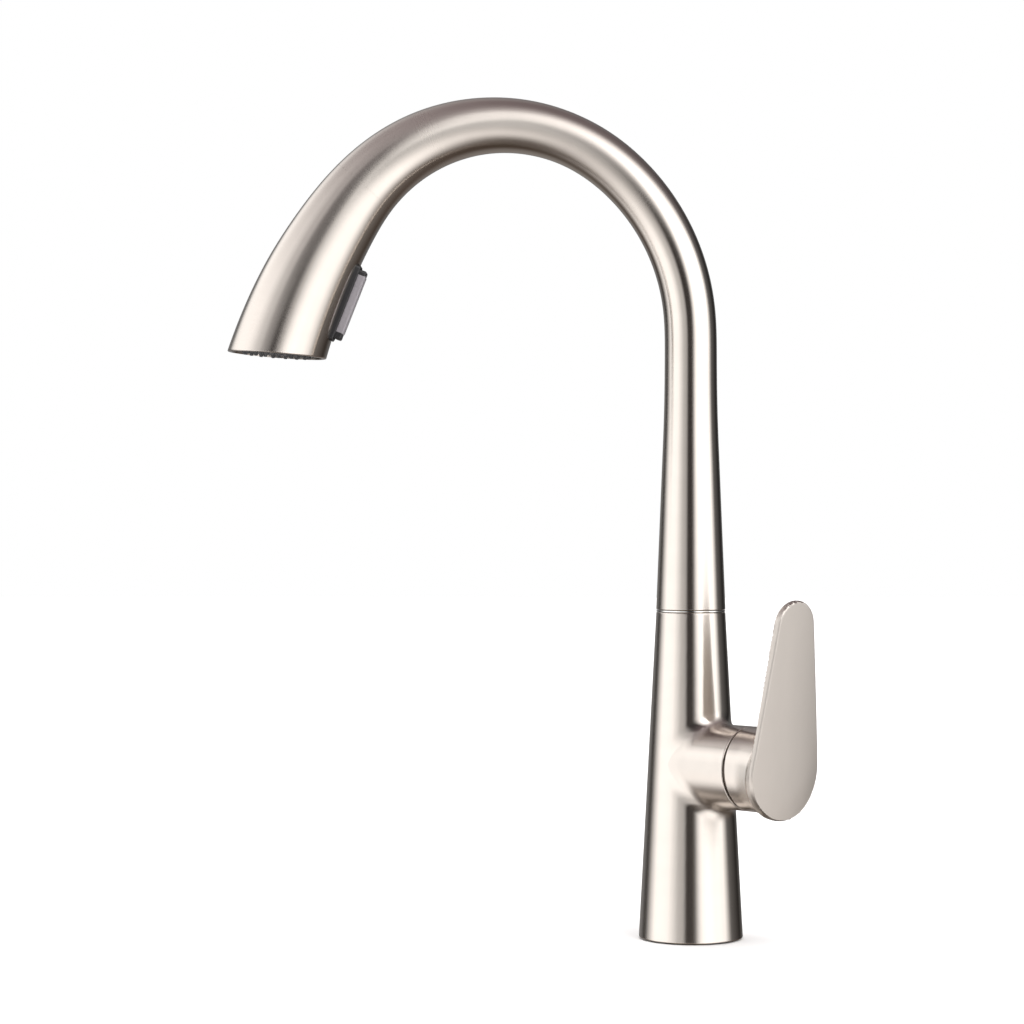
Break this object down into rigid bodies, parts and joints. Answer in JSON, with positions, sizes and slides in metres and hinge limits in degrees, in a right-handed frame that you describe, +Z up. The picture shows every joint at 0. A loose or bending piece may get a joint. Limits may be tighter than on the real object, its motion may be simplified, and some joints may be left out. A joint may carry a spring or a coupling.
{
  "type": "pull down kitchen faucet",
  "caption": "High-arc single-lever kitchen faucet with a tapered column, a swivelling gooseneck spout and a pull-down two-spray head on a hose.",
  "frame": {"origin": "centre of the base on the deck, where the swivel axis meets the worktop's upper face", "axes": "+Z up the column and along the swivel axis; the spout reaches along -X; the user stands at -Y, and the lever's boss points between +X and -Y"},
  "size_m": [0.2923, 0.0911, 0.532],
  "materials": {
    "brushed_nickel": "warm brushed nickel, satin",
    "dome_metal": "plated, satin",
    "bright_ring": "polished",
    "brass": "turned, unplated",
    "steel": "stainless, plain",
    "black_rubber": "moulded",
    "nozzle_rubber": "soft silicone, dark grey",
    "white_plastic": "moulded acetal",
    "dark_plastic": "moulded",
    "face_grey": "dark grey, satin",
    "button_grey": "grey, satin metallic look",
    "ceramic": "ground alumina",
    "hose_braid": "woven nylon braid over a rubber tube"
  },
  "bodies": {
    "body": {"body_shell": "brushed_nickel", "base_gasket": "black_rubber", "mounting_shank": "brass", "rubber_washer": "black_rubber", "metal_washer": "steel", "mounting_nut": "brass", "hot_water_tube": "brass", "cold_water_tube": "brass", "mixed_water_tube": "brass", "hot_water_fitting": "brass", "cold_water_fitting": "brass", "mixed_water_fitting": "brass", "valve_block": "brass", "hot_port_seal": "black_rubber", "cold_port_seal": "black_rubber", "mixed_port_seal": "black_rubber", "cartridge_base": "white_plastic", "fixed_ceramic_disc": "ceramic", "cartridge_housing": "white_plastic", "cartridge_nut": "brass", "dome_ring": "dome_metal", "swivel_post": "brass", "post_lock_nut": "brass", "slip_ring": "bright_ring", "lower_o_ring": "black_rubber", "upper_o_ring": "black_rubber", "retaining_clip": "steel", "hose_coupling": "dark_plastic"},
    "spout": {"spout_tube": "brushed_nickel", "spout_insert": "brass", "dock_collar": "dark_plastic", "pull_hose": "hose_braid"},
    "hose_end": {"hose_ferrule": "steel", "hose_ball_joint": "brass"},
    "spray_head": {"head_shell": "brushed_nickel", "head_neck": "dark_plastic", "ball_retainer": "white_plastic", "check_valve_cage": "white_plastic", "check_valve_spring": "steel", "head_waterway": "white_plastic", "diverter_body": "white_plastic", "toggle_frame": "dark_plastic", "toggle_pin": "steel", "spray_face": "face_grey", "nozzle_mat": "nozzle_rubber", "spray_manifold": "white_plastic", "aerator": "face_grey", "aerator_insert": "white_plastic"},
    "check_poppet": {"check_valve_poppet": "dark_plastic"},
    "diverter": {"diverter_spool": "dark_plastic"},
    "rocker": {"toggle_rocker": "button_grey"},
    "valve_rotor": {"cartridge_rotor": "white_plastic", "stem_pivot_pin": "steel"},
    "carrier": {"disc_carrier": "dark_plastic", "moving_ceramic_disc": "ceramic"},
    "lever": {"handle": "brushed_nickel", "cartridge_stem": "steel", "handle_set_screw": "steel", "handle_plug": "dark_plastic"}
  },
  "joints": [
    {"name": "spout_swivel", "type": "hinge", "parent": "body", "child": "spout", "pos_m": [0, 0, 0.164], "axis": [0, 0, 1], "continuous": true},
    {"name": "head_pull", "type": "slide", "parent": "spout", "child": "hose_end", "axis": [-0.6613, 0, -0.7501], "range_m": [0, 0.38], "stiffness_N_per_m": 10, "springref_m": -1, "deforming": ["pull_hose"]},
    {"name": "head_swivel", "type": "hinge", "parent": "hose_end", "child": "spray_head", "pos_m": [-0.16284, 0, 0.37487], "axis": [-0.6613, 0, -0.7501], "continuous": true},
    {"name": "spray_toggle", "type": "hinge", "parent": "spray_head", "child": "rocker", "pos_m": [-0.1732, 0, 0.31722], "axis": [0, 1, 0], "range_deg": [0, 5]},
    {"name": "diverter_slide", "type": "slide", "parent": "spray_head", "child": "diverter", "axis": [0.3665, 0, 0.9304], "range_m": [0, 0.0018]},
    {"name": "check_poppet_slide", "type": "slide", "parent": "spray_head", "child": "check_poppet", "axis": [-0.6613, 0, -0.7501], "range_m": [0, 0.0012], "stiffness_N_per_m": 150, "springref_m": -0.0005, "deforming": ["check_valve_spring"]},
    {"name": "handle_temperature", "type": "hinge", "parent": "body", "child": "valve_rotor", "pos_m": [0, 0, 0.087], "axis": [0.682, -0.7314, 0], "range_deg": [-45, 45]},
    {"name": "handle_lift", "type": "hinge", "parent": "valve_rotor", "child": "lever", "pos_m": [0.01739, -0.01865, 0.087], "axis": [0.7314, 0.682, 0], "range_deg": [0, 22]},
    {"name": "disc_slide", "type": "slide", "parent": "valve_rotor", "child": "carrier", "axis": [0, 0, 1], "range_m": [0, 0.002]}
  ],
  "couplings": [
    {"joint": "disc_slide", "follows": "handle_lift", "m_per_rad": 0.0052},
    {"joint": "diverter_slide", "follows": "spray_toggle", "m_per_rad": 0.0202}
  ]
}
